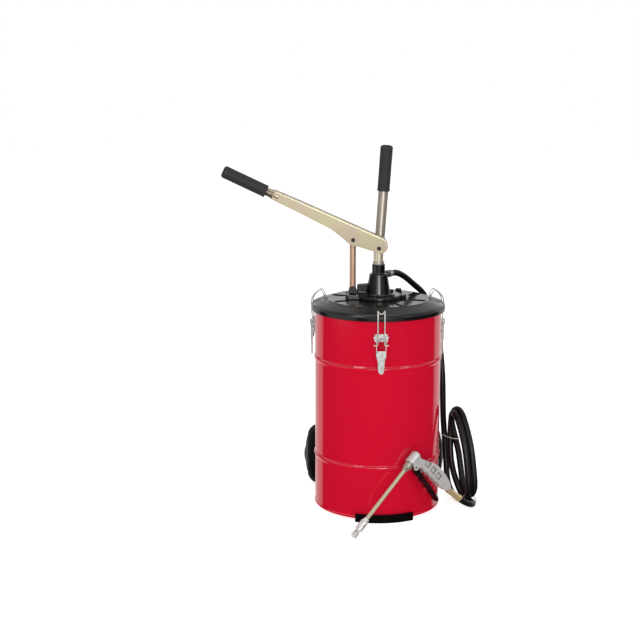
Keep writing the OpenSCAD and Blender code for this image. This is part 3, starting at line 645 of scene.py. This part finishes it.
# Distance out, sideways, height
BAIL_LEG = [
    (162.8, 7.8, 486), (161.2, 7.8, 465), (158, 7.8, 436), (157.3, 8, 431), (157, 8.7, 428.9),
    (157, 9.7, 428), (157, 12, 428), (157, 17.5, 428),
]
FRONT_HOOK = [
    (153, 0, 500.4), (153, 2.4, 500.6), (153.1, 4.8, 502.2), (153.6, 6.8, 505),
    (154.8, 7.8, 507), (157.2, 7.8, 506.8), (160, 7.8, 502.5), (162, 7.8, 495.5),
]
SIDE_HOOK = [
    (131.5, 0, 507.2), (131.3, 2.4, 507.6), (131.4, 5, 509.2), (132.4, 7.2, 512.5),
    (134, 7.8, 516.5), (136.5, 7.8, 520.5), (140, 7.8, 522.8), (144.5, 7.8, 521.5),
    (151, 7.8, 516), (157, 7.8, 509.5), (161, 7.8, 502.5), (162.6, 7.8, 495),
]
for side, angle, hook in (("front", -90, FRONT_HOOK), ("left", -195, SIDE_HOOK),
                          ("right", 15, SIDE_HOOK)):
    spin = Matrix.Rotation(math.radians(angle), 4, "Z")
    half = [Vector(p) for p in hook + BAIL_LEG]
    whole = [Vector((p.x, -p.y, p.z)) for p in reversed(half[1:])] + half
    bail = wire(f"latch_wire_{side}", [spin @ p for p in whole], 1.5, steps=5, sides=10)
    dress(bail, "chrome", f"bail_{side}", [f"latch_bail_{side}"], BAIL_WIRE)

# ---------- Wheels ----------


def build_wheel(side, s):
    """A wheel's tyre and hub. s is -1 for the left wheel and 1 for the right one."""
    place = (Matrix.Translation((s * 178, 160, 74))
             @ Matrix.Rotation(-s * math.pi / 2, 4, "Y"))
    tyre = rounded(
        [(50, 9), (57, 10.8), (64, 15), (69.5, 20), (72.8, 25), (74, 30), (74, 36),
         (72.5, 41), (69, 45), (62, 47), (50, 48)], [0, 4, 5, 5, 5, 4, 4, 4, 4, 3, 0])
    dress(new_piece(f"tyre_{side}_rubber", lathed(tyre, 128, place), sharp=60), "tyre",
          f"wheel_{side}", [f"tyre_{side}"])
    refine(f"hub_{side}", 0.8)


build_wheel("left", -1)
build_wheel("right", 1)

# ---------- Floor and light ----------


# Places along the world's Y or Z, from -1 to 1 scaled to 0 to 1, and the grey there
SKY = [(0.0, 0.0), (1.0, 0.35), (0.57, 0.0), (0.60, 1.90), (0.66, 0.60)]
BEHIND = [(0.0, 0.03), (1.0, 0.85), (0.745, 0.03), (0.79, 0.85)]
HORIZON = [(0.0, 1.0), (1.0, 0.0), (0.515, 1.0), (0.545, 0.0)]


def add_world():
    """A soft sky with a bright band low in it, dark below that, but pale below the horizon behind
    the object. Paint and metal mirror this, and the camera itself sees white."""
    world = bpy.data.worlds.new("studio")
    bpy.context.scene.world = world
    world.use_nodes = True
    nodes, links = world.node_tree.nodes, world.node_tree.links
    coords = nodes.new("ShaderNodeTexCoord")
    split = nodes.new("ShaderNodeSeparateXYZ")
    links.new(coords.outputs["Generated"], split.inputs["Vector"])

    def graded(axis, stops):
        shift = nodes.new("ShaderNodeMapRange")
        shift.inputs["From Min"].default_value = -1.0
        shift.inputs["From Max"].default_value = 1.0
        links.new(split.outputs[axis], shift.inputs["Value"])
        ramp = nodes.new("ShaderNodeValToRGB")
        links.new(shift.outputs["Result"], ramp.inputs["Fac"])
        places = ramp.color_ramp.elements
        for k, (place, grey) in enumerate(stops):
            stop = places[k] if k < 2 else places.new(place)
            stop.position, stop.color = place, (grey, grey, grey, 1.0)
        return ramp.outputs["Color"]

    def mixed(kind, first, second, factor=None):
        mix = nodes.new("ShaderNodeMixRGB")
        mix.blend_type = kind
        mix.inputs["Fac"].default_value = 1.0
        if factor:
            links.new(factor, mix.inputs["Fac"])
        links.new(first, mix.inputs["Color1"])
        if second:
            links.new(second, mix.inputs["Color2"])
        else:
            mix.inputs["Color2"].default_value = (1.0, 1.0, 1.0, 1.0)
        return mix.outputs["Color"]

    low = mixed("MULTIPLY", graded("Y", BEHIND), graded("Z", HORIZON))
    all_round = mixed("ADD", graded("Z", SKY), low)
    seen = nodes.new("ShaderNodeLightPath").outputs["Is Camera Ray"]
    links.new(mixed("MIX", all_round, None, seen), nodes["Background"].inputs["Color"])


def add_light(name, at, size, power, target=(0, 0, 0.35), height=None):
    data = bpy.data.lights.new(name, "AREA")
    data.shape = "RECTANGLE"
    data.size = size
    data.size_y = height or size
    data.energy = power
    light = bpy.data.objects.new(name, data)
    bpy.context.scene.collection.objects.link(light)
    light.location = at
    light.rotation_euler = (Vector(target) - Vector(at)).to_track_quat("-Z", "Y").to_euler()


def add_stage():
    """A pale floor that glossy pieces don't mirror, the world, and the lights."""
    half = 9000
    bm = bmesh.new()
    bm.faces.new([bm.verts.new(p) for p in
                  ((-half, -half, 0), (half, -half, 0), (half, half, 0), (-half, half, 0))])
    floor = new_piece("floor", bm)
    paper = material("floor", (0.90, 0.90, 0.90), rough=0.9, specular=0.0)
    shader = paper.node_tree.nodes["Principled BSDF"]
    shader.inputs["Emission Color"].default_value = (1.0, 1.0, 1.0, 1.0)
    shader.inputs["Emission Strength"].default_value = 0.72
    floor.data.materials.append(paper)
    floor.visible_glossy = False
    add_world()
    add_light("key", (-1.7, -2.2, 2.2), 1.0, 14.5)
    add_light("fill", (2.1, -1.9, 1.6), 0.8, 7)
    add_light("top", (0.0, 0.3, 3.0), 1.6, 12)
    add_light("strip", (0.40, -3.4, 0.95), 1.0, 30, height=0.8)
    add_light("strip_left", (-0.85, -3.3, 0.95), 0.4, 4.5, height=0.8)
    # Low cards for the handles, the link and the front latch to mirror
    add_light("card_front", (0.35, -2.2, 0.24), 2.7, 2.9, target=(0, 0, 0.24), height=0.42)
    add_light("card_left", (-1.95, -0.8, 0.24), 2.4, 4.2, target=(0, 0, 0.24), height=0.42)
    add_light("card_latch", (-0.25, -2.5, 0.60), 0.5, 0.9, target=(0, 0, 0.45), height=0.16)
    view = bpy.context.scene.view_settings
    view.view_transform = "Standard"
    view.look = "None"


add_stage()
